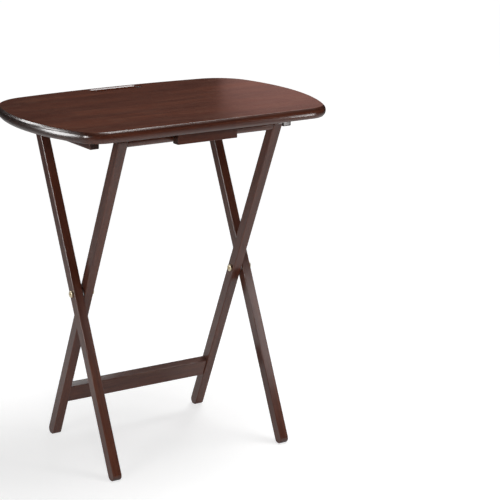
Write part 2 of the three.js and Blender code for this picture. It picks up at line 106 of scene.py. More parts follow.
RAIL_DIAMETER = 19 * MM
RAIL_EASE = 0.8 * MM
RAIL_EASE_KNEE = 0.25 * RAIL_EASE
TENON_DIAMETER = 12 * MM
TENON_LENGTH = 12 * MM
BATTEN_ROUNDING = 1.6 * MM
CATCH_ROUNDING = 1.0 * MM
CATCH_CLEARANCE = 0.9 * MM
COVE_TURN = math.radians(40)

BOLT_SHANK = 6 * MM
SLEEVE = 8 * MM
SLEEVE_BORE = 6.8 * MM
SLEEVE_FLOOR = 4 * MM  # solid stretch of a sleeve nut behind its head
PIVOT_BORE = SLEEVE + 2 * GAP
WASHER_SOFTENING = 0.25 * MM
HEAD_CROWN = 0.25 * MM
HEAD_RIM = 0.7 * MM
# (depth, radius) points of the head, first in shares of its crown and radius, then of its rim
CROWN_POINTS = ((0, 0.45), (0.4, 0.72))
RIM_POINTS = ((0, 0), (0.18, 0.5), (0.55, 0.85))
RIM_END = 1.1
RIM_FROM = 0.9  # of the head's radius: what lies further out is its rim
HEAD_BACK_CHAMFER = 0.3 * MM
SHANK_END_CHAMFER = 0.6 * MM
SOCKET_SIDES = 6
SOCKET_ACROSS_FLATS = 4 * MM
SOCKET_DEPTH = 1.8 * MM
SOCKET_OVERRUN = 2 * MM

SCREW_SHANK = 4 * MM
SCREW_HEAD = 8 * MM
SCREW_RECESS = 2 * MM
SCREW_HOLE = SCREW_SHANK + 2 * GAP
SCREW_HEAD_HOLE = SCREW_HEAD + 2 * GAP
SCREW_HEAD_DEPTH = (SCREW_HEAD - SCREW_SHANK) / 2
SCREW_RIM_CHAMFER = 0.3 * MM
SCREW_RIM_START = 0.12 * MM
SCREW_RIM_END = 0.5 * MM
SCREW_NECK = 0.2 * MM
SCREW_TIP = 4 * MM
THREAD_START = 8 * MM
THREAD_PITCH = 1.6 * MM
THREAD_RISE, THREAD_CREST = 0.35, 0.75  # where a thread ring starts and peaks, in pitches
THREAD_ROOT = 0.7  # of the shank's radius
PLAIN_SHANK = 0.86  # of the shank's radius
DRIVE_SLOT = (4.4 * MM, 0.9 * MM, 2.4 * MM)  # length, width, twice the depth

# ---------------------------------------------------------------- fineness of round shapes
EDGE_STEPS = 24
LONG_EDGE_STEPS = 32
CORNER_STEPS = 44
END_STEPS = 72
SLOT_END_STEPS = 20
COVE_STEPS = 16
LEG_END_STEPS = 24
FOOT_STEPS = 14
ROUNDING_STEPS = 3
LEG_ROUNDING_STEPS = 4
BORE_SIDES = 32
SMALL_BORE_SIDES = 24
WASHER_SIDES = 48
RAIL_SIDES = 56
HEAD_SIDES = 64
SCREW_SIDES = 28
FLOOR_SIDES = 96

SHARP_CORNER = math.radians(40)  # sharper edges of a board or leg are rounded
HARD_EDGE = math.radians(50)  # sharper edges are not shaded smooth
WEAR = "wear"
WEAR_FROM, WEAR_FULL = math.radians(9), math.radians(26)

# ---------------------------------------------------------------- looks: stained wood
WOOD_DARK = (0.048, 0.0115, 0.0060)
WOOD_MID = (0.102, 0.0280, 0.0145)
WOOD_LIGHT = (0.175, 0.0490, 0.0215)
WOOD_WORN = (0.170, 0.0800, 0.0500)
# the pore colour is also the colour of the painted shade on the top's edge shoulder
WOOD_PORE_AND_PAINTED_SHADE = (0.012, 0.0035, 0.0020)
WOOD_SPECK = (0.210, 0.1350, 0.1000)
WOOD_RAMP = ((0.30, WOOD_DARK), (0.50, WOOD_MID), (0.76, WOOD_LIGHT))
SEED_STEP = Vector((1.37, 0.61, 0.29))

# each noise: cells per metre along the grain and across it, detail, roughness
SWAY_NOISE = (2.2, 9.0, 2, 0.5)
BROAD_NOISE = (3.5, 28.0, 2, 0.5)
STREAK_NOISE = (9.0, 230.0, 6, 0.62)
FIBRE_NOISE = (45.0, 1500.0, 3, 0.6)
FLECK_NOISE = (38.0, 520.0, 2, 0.5)
PORE_NOISE = (150.0, 3200.0, 1, 0.5)
SPECK_NOISE = (170.0, 420.0, 1, 0.5)
SPECK_AREA_NOISE = (3.0, 16.0, 2, 0.5)
WORN_NOISE = (30.0, 60.0, 4, 0.65)

SWAY_REACH = (0.0, 12 * MM, 12 * MM)
BROAD_SHARE, STREAK_SHARE, FIBRE_SHARE = 0.34, 0.50, 0.16
# the stretch of each noise, or of the facing, over which its mark sets in
FLECK_RANGE = (0.60, 0.74)
PORE_RANGE = (0.62, 0.72)
SPECK_RANGE = (0.64, 0.72)
SPECK_AREA_RANGE = (0.45, 0.62)
WORN_RANGE = (0.45, 0.75)
END_GRAIN_RANGE = (0.45, 0.95)
# the upward facing over which painted shade sets in on the edge's shoulder, and over which it stops again
SHOULDER_SHADE_START_RANGE = (0.15, 0.5)
SHOULDER_SHADE_STOP_RANGE = (0.99, 0.90)
STREAK_GLOSS_RANGE = (0.3, 0.7)
FLECK_STRENGTH = 0.45
PORE_STRENGTH = 0.5
WORN_STRENGTH = 0.45
END_GRAIN_SHADE = 0.7
STRIP_WIDTH = 47 * MM
BLOCK_LENGTH = 330 * MM
ROWS_APART = 7.0  # keeps the blocks of neighbouring strips at different tones

TOP_STRIPS = 0.07
TOP_SPECKS = 0.35
# how strongly shade is painted on the shoulder below the top's upper arris
TOP_PAINTED_EDGE_SHADE = 0.6
TOP_GLOSS, FRAME_GLOSS = 0.30, 0.32
GLOSS_BELOW, GLOSS_ABOVE = 0.04, 0.08
PORE_ROUGHNESS = 0.15
LACQUER = {"Specular IOR Level": 0.25, "Coat Weight": 0.9, "Coat Roughness": 0.17, "Coat IOR": 1.5}
FIBRE_RELIEF, STREAK_RELIEF = 0.5, 0.6
WOOD_BUMP = (0.25, 0.12 * MM)  # each bump: strength, distance

# ---------------------------------------------------------------- looks: metal and bare beech
BRASS_COLOURS = ((0.80, 0.70, 0.50), (0.50, 0.40, 0.26))
BRASS_ROUGHNESS = 0.34
STEEL_COLOURS = ((0.56, 0.57, 0.58), (0.30, 0.29, 0.27))
STEEL_ROUGHNESS = 0.38
CLOUD_NOISE = (260.0, 260.0, 4, 0.6)
GRIT_NOISE = (1800.0, 1800.0, 2, 0.5)
GRIT_RANGE = (0.3, 0.7)
TARNISH_RANGE = (0.42, 0.72)
TARNISH_ON_FACES, TARNISH_ON_EDGES = 0.8, 0.25
TARNISH_ROUGHNESS = 0.12
METAL_BELOW, METAL_ABOVE = 0.05, 0.08
LATHE_RING = 0.25 * MM
LATHE_RELIEF = 0.3
METAL_BUMP = (0.12, 0.04 * MM)

BEECH_NOISE = (40.0, 700.0, 4, 0.5)
RAY_NOISE = (220.0, 2200.0, 1, 0.5)
BEECH_RAMP = ((0.3, (0.36, 0.22, 0.115)), (0.7, (0.52, 0.35, 0.20)))
BEECH_RAY = (0.22, 0.115, 0.05)
RAY_RANGE = (0.6, 0.75)
RAY_STRENGTH = 0.7
BEECH_ROUGHNESS = (0.62, 0.78)
BEECH_BUMP = (0.3, 0.1 * MM)

# ---------------------------------------------------------------- studio and camera
WHITE = (1, 1, 1)
FLOOR_RADIUS = 40.0
FLOOR_DROP = 0.3 * MM  # keeps the floor clear of the feet's flats
FLOOR_GREY = (0.5, 0.5, 0.5, 1)
FLOOR_LOOK = {"Roughness": 0.75, "Specular IOR Level": 0.2, "Emission Color": (1, 1, 1, 1)}
GLOW_RANGE, GLOW_STRENGTH = (0.8, 3.2), (0.7, 1.0)
BOUNCE_RANGE, BOUNCE_STRENGTH = (0.7, 2.4), (0.2, 0.0)
ROOM_BRIGHTNESS = 0.02

# place, point aimed at, width, height, radiance
SOFT_BOXES = {
    "overhead": ((0.45, -0.2, 2.35), (0, 0, 0.6), 0.9, 0.9, 12),
    "arris_light": ((1.15, 0.2, 2.6), (0, 0, 0.65), 0.55, 0.8, 10),
    "rear_top": ((0.85, 0.95, 2.35), (-0.1, 0, 0.2), 0.4, 0.5, 4),
}
FILL_LIGHTS = {
    "left_fill": ((-1.9, -0.95, 0.9), (0, 0, 0.5), 0.7, 0.9, 4.5),
    "camera_side": ((-1.3, -2.6, 1.6), (0, 0, 0.5), 0.6, 0.6, 14),
    "right_fill": ((1.56, -2.2, 1.15), (0, 0, 0.3), 0.5, 0.5, 9),
}
ROUND, SQUARE = "ELLIPSE", "RECTANGLE"
CARDS = {
    "left_card": ((-1.965, 0.748, 0.82), (-0.25, -0.07, 0.65), 0.85, 1.2, 11, ROUND),
    "far_left_card": ((-0.98, 1.56, 1.62), (-0.28, -0.02, 0.65), 0.40, 0.5, 9, SQUARE),
    "high_left_card": ((-1.49, 1.13, 1.75), (-0.28, -0.06, 0.65), 0.5, 0.62, 8, ROUND),
    "near_left_card": ((-2.06, -0.62, 1.02), (-0.28, -0.15, 0.64), 0.48, 0.7, 20, SQUARE),
}
# one end, other end, width, radiance, facing up (1) or down (-1)
LEVEL_CARDS = {
    "right_card": ((0.40, -0.45, 0.5), (1.05, -1.34, 0.5), 0.05, 13, 1),
    "leg_card": ((0.58, -0.57, 0.62), (0.92, -1.18, 0.62), 0.16, 3, -1),
    "left_leg_card": ((0.22, -0.57, 0.62), (0.62, -1.28, 0.62), 0.16, 1.1, -1),
}
# the warm patch that the stored tables leave in the top
TOP_GLARE = ((1.034, 1.09, 0.886), (0.2, 0, 0.65), 0.38, 0.27, 0.25, ROUND, (1, 0.55, 0.5))

CAMERA_PLACE = Vector((-1.749, -2.993, 1.308))
CAMERA_AZIMUTH = math.radians(-33.06)
CAMERA_ELEVATION = math.radians(15.07)
CAMERA_ROLL = math.radians(0.41)
SENSOR = 36.0
LENS = 137.7


# ---------------------------------------------------------------- mesh tools
def basis(x, y, z, origin=(0, 0, 0)):
    """The matrix that takes the three axes to x, y and z, and the origin to origin."""
    rows = [(x[i], y[i], z[i], origin[i]) for i in range(3)]
    return Matrix((*rows, (0, 0, 0, 1)))


def new_object(name, bm, matrix=None):
    mesh = bpy.data.meshes.new(name)
    bmesh.ops.recalc_face_normals(bm, faces=bm.faces)
    bm.to_mesh(mesh)
    bm.free()
    obj = bpy.data.objects.new(name, mesh)
    bpy.context.scene.collection.objects.link(obj)
    if matrix is not None:
        obj.matrix_world = matrix
    return obj


def middle_and_half(low, high):
    """The middle of a box, and half of its size."""
    return (low + high) / 2, (high - low) / 2


def arc(cx, cy, radius, start, stop, steps):
    turns = [start + (stop - start) * i / steps for i in range(steps + 1)]
    return [(cx + radius * math.cos(turn), cy + radius * math.sin(turn)) for turn in turns]


def ring(bm, x, radius, sides):
    """A circle of vertices about x. A radius of 0 gives the one vertex on the axis."""
    if radius == 0:
        return [bm.verts.new((x, 0, 0))]
    turns = [FULL_TURN * i / sides for i in range(sides)]
    return [bm.verts.new((x, radius * math.cos(turn), radius * math.sin(turn))) for turn in turns]


def bridge(bm, a, b):
    """Faces between two closed loops of vertices. A loop may be a single vertex."""
    count = max(len(a), len(b))
    for i in range(count):
        j = (i + 1) % count
        if len(a) == 1:
            bm.faces.new((a[0], b[i], b[j]))
        elif len(b) == 1:
            bm.faces.new((a[i], b[0], a[j]))
        else:
            bm.faces.new((a[i], a[j], b[j], b[i]))


def capped(bm, lower, upper):
    """A solid between two matching loops: a face on each and the wall between them."""
    bm.faces.new(lower[::-1])
    bm.faces.new(upper)
    bridge(bm, lower, upper)


def prism(outline, depth, rounding, steps=ROUNDING_STEPS):
    """A flat outline in x and y, thickened along z about 0, its sharp edges rounded."""
    bm = bmesh.new()
    half = depth / 2
    lower = [bm.verts.new((x, y, -half)) for x, y in outline]
    upper = [bm.verts.new((x, y, half)) for x, y in outline]
    capped(bm, lower, upper)
    bm.normal_update()
    sharp = [edge for edge in bm.edges if edge.calc_face_angle(0) > SHARP_CORNER]
    settings = {"segments": steps, "profile": 0.5, "affect": "EDGES", "clamp_overlap": True}
    bmesh.ops.bevel(bm, geom=sharp, offset=rounding, **settings)
    return bm


def board(name, centre, along, up, length, width, depth, rounding):
    """A straight board: its length runs along, its depth up, and its edges are rounded."""
    half_length, half_width = length / 2, width / 2
    near_side = [(-half_length, -half_width), (half_length, -half_width)]
    far_side = [(half_length, half_width), (-half_length, half_width)]
    matrix = basis(along, up.cross(along), up, centre)
    return new_object(name, prism(near_side + far_side, depth, rounding), matrix)


def lathe(profile, sides):
    """A closed body turned about x from (x, radius) points; both ends lie on the axis."""
    bm = bmesh.new()
    rings = [ring(bm, x, radius, sides) for x, radius in profile]
    for a, b in zip(rings, rings[1:]):
        bridge(bm, a, b)
    return bm


def ring_body(inner, outer, half, softening, sides):
    """A flat ring about x, between -half and half, with softened outer rims."""
    profile = [
        (-half, inner),
        (-half, outer - softening),
        (-half + softening, outer),
        (half - softening, outer),
        (half, outer - softening),
        (half, inner),
    ]
    bm = bmesh.new()
    rings = [ring(bm, x, radius, sides) for x, radius in profile]
    for a, b in zip(rings, rings[1:] + rings[:1]):
        bridge(bm, a, b)
    return bm


def bake_modifiers(obj):
    graph = bpy.context.evaluated_depsgraph_get()
    mesh = bpy.data.meshes.new_from_object(obj.evaluated_get(graph))
    old = obj.data
    obj.modifiers.clear()
    obj.data = mesh
    bpy.data.meshes.remove(old)


def cut(obj, cutters):
    """Cuts the other meshes, given as bmeshes in world places, out of the object."""
    tools = []
    for k, bm in enumerate(cutters):
        tool = new_object(f"cutter_{k}", bm)
        modifier = obj.modifiers.new(f"cut_{k}", "BOOLEAN")
        modifier.operation = "DIFFERENCE"
        modifier.solver = "EXACT"
        modifier.object = tool
        tools.append(tool)
    bpy.context.view_layer.update()
    bake_modifiers(obj)
    for tool in tools:
        mesh = tool.data
        bpy.data.objects.remove(tool)
        bpy.data.meshes.remove(mesh)


def bore_along_x(diameter, start, stop, y, z, sides=BORE_SIDES):
    """A round cutter between two places on x, in either order."""
    radius = diameter / 2
    low, high = sorted((start, stop))
    bm = lathe([(low, 0), (low, radius), (high, radius), (high, 0)], sides)
    bm.transform(Matrix.Translation((0, y, z)))
    return bm


def bore_along_z(diameter, start, stop, x, y, sides):
    bm = bore_along_x(diameter, start, stop, 0, 0, sides)
    bm.transform(Matrix.Translation((x, y, 0)) @ Matrix.Rotation(-QUARTER_TURN, 4, "Y"))
    return bm


def through_bore(low, high, centre):
    """A cutter for a pivot pin, through a piece's whole thickness."""
    return bore_along_x(PIVOT_BORE, low.x - CUTTER_OVERRUN, high.x + CUTTER_OVERRUN, centre.y, centre.z)


def finish_mesh(obj):
    """Smooth shading with flat faces kept flat, and the wear attribute: 1 on rounded edges, 0 on faces."""
    bm = bmesh.new()
    bm.from_mesh(obj.data)
    wear = []
    for vert in bm.verts:
        angle = max((edge.calc_face_angle(0) for edge in vert.link_edges), default=0)
        wear.append(min(1, max(0, (angle - WEAR_FROM) / (WEAR_FULL - WEAR_FROM))))
    for edge in bm.edges:
        edge.smooth = edge.calc_face_angle(0) < HARD_EDGE
    for face in bm.faces:
        face.smooth = True
    bm.to_mesh(obj.data)
    bm.free()
    attribute = obj.data.attributes.new(WEAR, "FLOAT", "POINT")
    attribute.data.foreach_set("value", wear)
    weighted = obj.modifiers.new("flat_faces", "WEIGHTED_NORMAL")
    weighted.keep_sharp = True


def place(obj, body, node_name, material):
    """Finishes a piece, and puts it on its body in place of its CAD node."""
    finish_mesh(obj)
    obj.data.materials.clear()
    obj.data.materials.append(material)
    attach(obj, body)
    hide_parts(node_name)


# ---------------------------------------------------------------- material tools
def is_socket(value):
    return isinstance(value, bpy.types.NodeSocket)


def set_inputs(tree, target, values):
    """Links each value that is a socket, and sets each other one on the input itself."""
    for key, value in values.items():
        if is_socket(value):
            tree.links.new(value, target.inputs[key])
        else:
            target.inputs[key].default_value = value


def node(tree, kind, inputs=None, **settings):
    made = tree.nodes.new(kind)
    for key, value in settings.items():
        setattr(made, key, value)
    set_inputs(tree, made, inputs or {})
    return made


def math_node(tree, operation, *values, clamp=False):
    made = node(tree, "ShaderNodeMath", dict(enumerate(values)), operation=operation, use_clamp=clamp)
    return made.outputs[0]


def vector_math(tree, operation, *values, output="Vector"):
    return node(tree, "ShaderNodeVectorMath", dict(enumerate(values)), operation=operation).outputs[output]


def weighted_sum(tree, terms):
    """The sum of (value, weight) terms."""
    total = 0.0
    for value, weight in terms:
        total = math_node(tree, "MULTIPLY_ADD", value, weight, total)
    return total


def stretched_noise(tree, coords, cells_along, cells_across, detail, roughness, output="Fac"):
    """Noise whose cells are long on x and narrow on y and z, given in cells per metre."""
    spread = vector_math(tree, "MULTIPLY", coords, (cells_along, cells_across, cells_across))
    inputs = {"Vector": spread, "Scale": 1.0, "Detail": detail, "Roughness": roughness}
    return node(tree, "ShaderNodeTexNoise", inputs).outputs[output]


def remap(tree, value, span, low=0.0, high=1.0):
    """Runs from low to high as the value crosses the span."""
    inputs = {"Value": value, "From Min": span[0], "From Max": span[1], "To Min": low, "To Max": high}
    return node(tree, "ShaderNodeMapRange", inputs).outputs["Result"]


def ramp(tree, value, stops):
    made = node(tree, "ShaderNodeValToRGB", {"Fac": value})
    elements = made.color_ramp.elements
    while len(elements) < len(stops):
        elements.new(0.5)
    for element, (position, colour) in zip(elements, stops):
        element.position = position
        element.color = (*colour, 1)
    return made.outputs["Color"]


def mix_colour(tree, factor, a, b):
    made = node(tree, "ShaderNodeMix", data_type="RGBA")
    first, second = (colour if is_socket(colour) else (*colour, 1) for colour in (a, b))
    # sockets 6 and 7 of this node are its two colours, and output 2 is the mixed one
    set_inputs(tree, made, {0: factor, 6: first, 7: second})
    return made.outputs[2]


def new_material(name):
    material = bpy.data.materials.new(name)
    material.use_nodes = True
    tree = material.node_tree
    tree.nodes.clear()
    shader = node(tree, "ShaderNodeBsdfPrincipled")
    node(tree, "ShaderNodeOutputMaterial", {"Surface": shader.outputs["BSDF"]}, name="output")
    return material, tree, shader


def bump(tree, height, strength, distance):
    inputs = {"Strength": strength, "Distance": distance, "Height": height}
    return node(tree, "ShaderNodeBump", inputs).outputs["Normal"]


def wear_on_edges(tree):
    return node(tree, "ShaderNodeAttribute", attribute_name=WEAR).outputs["Fac"]


# ---------------------------------------------------------------- stained wood
def swaying_grain(tree, coords):
    """Coordinates that wander a little sideways along the grain."""
    sway = stretched_noise(tree, coords, *SWAY_NOISE, output="Color")
    sway = vector_math(tree, "SUBTRACT", sway, (0.5, 0.5, 0.5))
    sway = vector_math(tree, "MULTIPLY", sway, SWAY_REACH)
    return vector_math(tree, "ADD", coords, sway)


def strip_tone(tree, coords, amount):
    """A tone for each block of the strips that the panel is glued up from."""
    parts = node(tree, "ShaderNodeSeparateXYZ", {0: coords}).outputs
    row = math_node(tree, "FLOOR", math_node(tree, "DIVIDE", parts["Y"], STRIP_WIDTH))
    shift = node(tree, "ShaderNodeTexWhiteNoise", {"W": row}, noise_dimensions="1D").outputs["Value"]
    along = math_node(tree, "ADD", math_node(tree, "DIVIDE", parts["X"], BLOCK_LENGTH), shift)
    block = math_node(tree, "MULTIPLY_ADD", row, ROWS_APART, math_node(tree, "FLOOR", along))
    tone = node(tree, "ShaderNodeTexWhiteNoise", {"W": block}, noise_dimensions="1D").outputs["Value"]
    return math_node(tree, "MULTIPLY", math_node(tree, "SUBTRACT", tone, 0.5), amount)


def speckled(tree, colour, coords, amount):
    """Pale specks that gather in patches."""
    specks = remap(tree, stretched_noise(tree, coords, *SPECK_NOISE), SPECK_RANGE)
    area = remap(tree, stretched_noise(tree, coords, *SPECK_AREA_NOISE), SPECK_AREA_RANGE, 0, amount)
    return mix_colour(tree, math_node(tree, "MULTIPLY", specks, area), colour, WOOD_SPECK)


def painted_shoulder_shade(tree, colour, upward, amount):
    """Painted shade on the shoulder just below the upper arris, where the edge faces partly upwards."""
    start = remap(tree, upward, SHOULDER_SHADE_START_RANGE)
    stop = remap(tree, upward, SHOULDER_SHADE_STOP_RANGE)
    shoulder = math_node(tree, "MULTIPLY", start, stop)
    # darkens the shoulder towards the pore colour as painted shade
    return mix_colour(tree, math_node(tree, "MULTIPLY", shoulder, amount), colour, WOOD_PORE_AND_PAINTED_SHADE)


def worn_edges(tree, colour, grain):
    patches = stretched_noise(tree, grain, *WORN_NOISE)
    patches = remap(tree, patches, WORN_RANGE, 0, WORN_STRENGTH)
    worn = math_node(tree, "MULTIPLY", wear_on_edges(tree), patches, clamp=True)
    return mix_colour(tree, worn, colour, WOOD_WORN)


def wood_finish(name, seed, strips=0, gloss=FRAME_GLOSS, specks=0, painted_edge_shade=0):
    """Dark walnut stain under satin lacquer, with the grain along the piece's own x."""
    material, tree, shader = new_material(name)
    own = node(tree, "ShaderNodeTexCoord").outputs
    moved = vector_math(tree, "ADD", own["Object"], seed * SEED_STEP)
    grain = swaying_grain(tree, moved)
    broad = stretched_noise(tree, grain, *BROAD_NOISE)
    streaks = stretched_noise(tree, grain, *STREAK_NOISE)
    fibres = stretched_noise(tree, grain, *FIBRE_NOISE)
    flecks = remap(tree, stretched_noise(tree, grain, *FLECK_NOISE), FLECK_RANGE)
    pores = remap(tree, stretched_noise(tree, grain, *PORE_NOISE), PORE_RANGE)

    figure = weighted_sum(tree, [(broad, BROAD_SHARE), (streaks, STREAK_SHARE), (fibres, FIBRE_SHARE)])
    if strips:
        figure = math_node(tree, "ADD", figure, strip_tone(tree, grain, strips))
    colour = ramp(tree, figure, WOOD_RAMP)
    colour = mix_colour(tree, math_node(tree, "MULTIPLY", flecks, FLECK_STRENGTH), colour, WOOD_DARK)
    colour = mix_colour(tree, math_node(tree, "MULTIPLY", pores, PORE_STRENGTH), colour, WOOD_PORE_AND_PAINTED_SHADE)
    if specks:
        colour = speckled(tree, colour, moved, specks)
    # the end grain drinks more stain than the sides
    facing = node(tree, "ShaderNodeSeparateXYZ", {0: own["Normal"]}).outputs
    end_grain = remap(tree, math_node(tree, "ABSOLUTE", facing["X"]), END_GRAIN_RANGE, 0, END_GRAIN_SHADE)
    colour = mix_colour(tree, end_grain, colour, WOOD_PORE_AND_PAINTED_SHADE)
    # painted shade on the shoulder below the upper arris, chosen by how far the face tilts upwards
    if painted_edge_shade:
        colour = painted_shoulder_shade(tree, colour, facing["Z"], painted_edge_shade)
    colour = worn_edges(tree, colour, grain)

    rough = remap(tree, streaks, STREAK_GLOSS_RANGE, gloss - GLOSS_BELOW, gloss + GLOSS_ABOVE)
    rough = math_node(tree, "MULTIPLY_ADD", pores, PORE_ROUGHNESS, rough)
    relief = weighted_sum(tree, [(fibres, FIBRE_RELIEF), (streaks, STREAK_RELIEF), (pores, -1)])
    normal = bump(tree, relief, *WOOD_BUMP)
    set_inputs(tree, shader, {"Base Color": colour, "Roughness": rough, "Normal": normal, **LACQUER})
    return material


# ---------------------------------------------------------------- metal and bare beech
def metal_finish(name, colours, roughness):
    """Turned metal: fine lathe rings, a little tarnish and rubbed edges."""
    material, tree, shader = new_material(name)
    coords = node(tree, "ShaderNodeTexCoord").outputs["Object"]
    grit = stretched_noise(tree, coords, *GRIT_NOISE)
    tarnish = remap(tree, stretched_noise(tree, coords, *CLOUD_NOISE), TARNISH_RANGE)
    kept = remap(tree, wear_on_edges(tree), (0, 1), TARNISH_ON_FACES, TARNISH_ON_EDGES)
    tarnish = math_node(tree, "MULTIPLY", tarnish, kept)
    rough = remap(tree, grit, GRIT_RANGE, roughness - METAL_BELOW, roughness + METAL_ABOVE)
    rough = math_node(tree, "MULTIPLY_ADD", tarnish, TARNISH_ROUGHNESS, rough)
    from_axis = vector_math(tree, "MULTIPLY", coords, (0, 1, 1))
    radius = vector_math(tree, "LENGTH", from_axis, output="Value")
    rings = math_node(tree, "SINE", math_node(tree, "MULTIPLY", radius, FULL_TURN / LATHE_RING))
    relief = math_node(tree, "MULTIPLY_ADD", rings, LATHE_RELIEF, grit)
    looks = {
        "Base Color": mix_colour(tree, tarnish, *colours),
        "Metallic": 1.0,
        "Roughness": rough,
        "Normal": bump(tree, relief, *METAL_BUMP),
    }
    set_inputs(tree, shader, looks)
    return material


def dowel_finish(name):
    """Bare beech: pale, with short dark rays along the grain, which runs along x."""
    material, tree, shader = new_material(name)
    coords = node(tree, "ShaderNodeTexCoord").outputs["Object"]
    streaks = stretched_noise(tree, coords, *BEECH_NOISE)
    rays = remap(tree, stretched_noise(tree, coords, *RAY_NOISE), RAY_RANGE, 0, RAY_STRENGTH)
    looks = {
        "Base Color": mix_colour(tree, rays, ramp(tree, streaks, BEECH_RAMP), BEECH_RAY),
        "Roughness": remap(tree, streaks, STREAK_GLOSS_RANGE, *BEECH_ROUGHNESS),
        "Normal": bump(tree, streaks, *BEECH_BUMP),
    }
    set_inputs(tree, shader, looks)
    return material


# ---------------------------------------------------------------- tray top
def rounding_centre(arc_a, arc_b, radius, far):
    """The centre of a corner arc that touches two larger arcs from inside."""
    (centre_a, radius_a), (centre_b, radius_b) = arc_a, arc_b
    span = centre_b - centre_a
    distance = span.length
    reach_a, reach_b = radius_a - radius, radius_b - radius
    along = (reach_a**2 - reach_b**2 + distance**2) / (2 * distance)
    across = math.sqrt(reach_a**2 - along**2)
    unit = span / distance
    normal = Vector((-unit.y, unit.x))
    options = [centre_a + unit * along + normal * across, centre_a + unit * along - normal * across]
    return max(options, key=lambda point: point.x + (point.y if far else -point.y))


def arc_radius(half, rise):
    return (half**2 + rise**2) / (2 * rise)


def angle_of(point, centre):
    return math.atan2(point.y - centre.y, point.x - centre.x)


def top_outline(inset):
    """The top's outline, moved inwards by inset: four bowed sides and four round corners."""
    half_length = (TOP_HIGH.x - TOP_LOW.x) / 2
    half_depth = (TOP_HIGH.y - TOP_LOW.y) / 2
    near_radius = arc_radius(half_length, NEAR_EDGE_BOW)
    far_radius = arc_radius(half_length, FAR_EDGE_BOW)
    end_radius = arc_radius(half_depth, END_BOW)
    near = (Vector((0, near_radius - half_depth)), near_radius)
    far = (Vector((0, half_depth - far_radius)), far_radius)
    end = (Vector((half_length - end_radius, 0)), end_radius)
    near_corner = (rounding_centre(near, end, NEAR_CORNER_RADIUS, False), NEAR_CORNER_RADIUS)
    far_corner = (rounding_centre(far, end, FAR_CORNER_RADIUS, True), FAR_CORNER_RADIUS)
    turns = [
        -QUARTER_TURN,
        angle_of(near_corner[0], near[0]),
        angle_of(near_corner[0], end[0]),
        angle_of(far_corner[0], end[0]),
        angle_of(far_corner[0], far[0]),
        QUARTER_TURN,
    ]
    stretches = (near, near_corner, end, far_corner, far)
    steps = (LONG_EDGE_STEPS, CORNER_STEPS, END_STEPS, CORNER_STEPS, LONG_EDGE_STEPS)
    right = []
    for (centre, radius), start, stop, count in zip(stretches, turns, turns[1:], steps):
        points = arc(centre.x, centre.y, radius - inset, start, stop, count)
        right += points[1:] if right else points
    left = [(-x, y) for x, y in reversed(right[1:-1])]
    return right + left


def edge_profile():
    """(inset, height) points of the top's edge, upwards: a bowed edge between two small arrises."""
    thickness = TOP_HIGH.z - TOP_LOW.z
    half = thickness / 2
    reach = half - TOP_ARRIS
    points = []
    for i in range(EDGE_STEPS + 1):
        height = -reach + 2 * reach * i / EDGE_STEPS
        points.append((TOP_EDGE_BULGE * abs(height / half) ** EDGE_POWER, half + height))
    inset = points[-1][0]
    inner, knee = inset + ARRIS_REACH, inset + ARRIS_KNEE_IN
    lower = [(inner, 0), (knee, ARRIS_KNEE_DOWN)]
    upper = [(knee, thickness - ARRIS_KNEE_DOWN), (inner, thickness)]
    return lower + points + upper


def slot_outline(growth):
    radius = SLOT_WIDTH / 2 + growth
    offset = (SLOT_LENGTH - SLOT_WIDTH) / 2
    y = TOP_HIGH.y - SLOT_FROM_FAR_EDGE
    right = arc(offset, y, radius, -QUARTER_TURN, QUARTER_TURN, SLOT_END_STEPS)
    left = arc(-offset, y, radius, QUARTER_TURN, HALF_TURN + QUARTER_TURN, SLOT_END_STEPS)
    return right + left


def slot_rim():
    """(growth, depth) points of the slot's chamfer, from the face to the wall, its corners softened."""
    along = Vector((-SLOT_CHAMFER_WIDTH, SLOT_CHAMFER_DEPTH)).normalized()
    corner_high, corner_low = Vector((SLOT_CHAMFER_WIDTH, 0)), Vector((0, SLOT_CHAMFER_DEPTH))
    points = [
        corner_high + Vector((SLOT_SOFTENING, 0)),
        corner_high + Vector((SLOT_KNEE_ALONG, SLOT_KNEE_OFF)),
        corner_high + along * SLOT_KNEE_ON_CHAMFER,
        corner_low - along * SLOT_KNEE_ON_CHAMFER,
        corner_low + Vector((SLOT_KNEE_OFF, SLOT_KNEE_ALONG)),
        corner_low + Vector((0, SLOT_SOFTENING)),
    ]
    return [tuple(point) for point in points]


def level_ring(bm, points, z):
    return [bm.verts.new((x, y, z)) for x, y in points]


def face_between(bm, outer, inner):
    """Fills a level face between an outline and the slot."""
    edges = []
    for loop in (outer, inner):
        for vert, following in zip(loop, loop[1:] + loop[:1]):
            edges.append(bm.edges.get((vert, following)))
    bmesh.ops.triangle_fill(bm, edges=edges, use_beauty=True)


def tray_panel(seed):
    bm = bmesh.new()
    outer = [level_ring(bm, top_outline(inset), TOP_LOW.z + height) for inset, height in edge_profile()]
    rim = slot_rim()
    slot = [level_ring(bm, slot_outline(growth), TOP_LOW.z + depth) for growth, depth in rim]
    slot += [level_ring(bm, slot_outline(growth), TOP_HIGH.z - depth) for growth, depth in reversed(rim)]
    for loops in (outer, slot):
        for a, b in zip(loops, loops[1:]):
            bridge(bm, a, b)
    for end in (0, -1):
        face_between(bm, outer[end], slot[end])
    # the top also gets painted shade on its edge shoulder
    looks = {"strips": TOP_STRIPS, "gloss": TOP_GLOSS, "specks": TOP_SPECKS, "painted_edge_shade": TOP_PAINTED_EDGE_SHADE}
    wood = wood_finish("top_walnut", seed, **looks)
    place(new_object("tray_top_panel", bm), "tray_top", "tray_panel", wood)


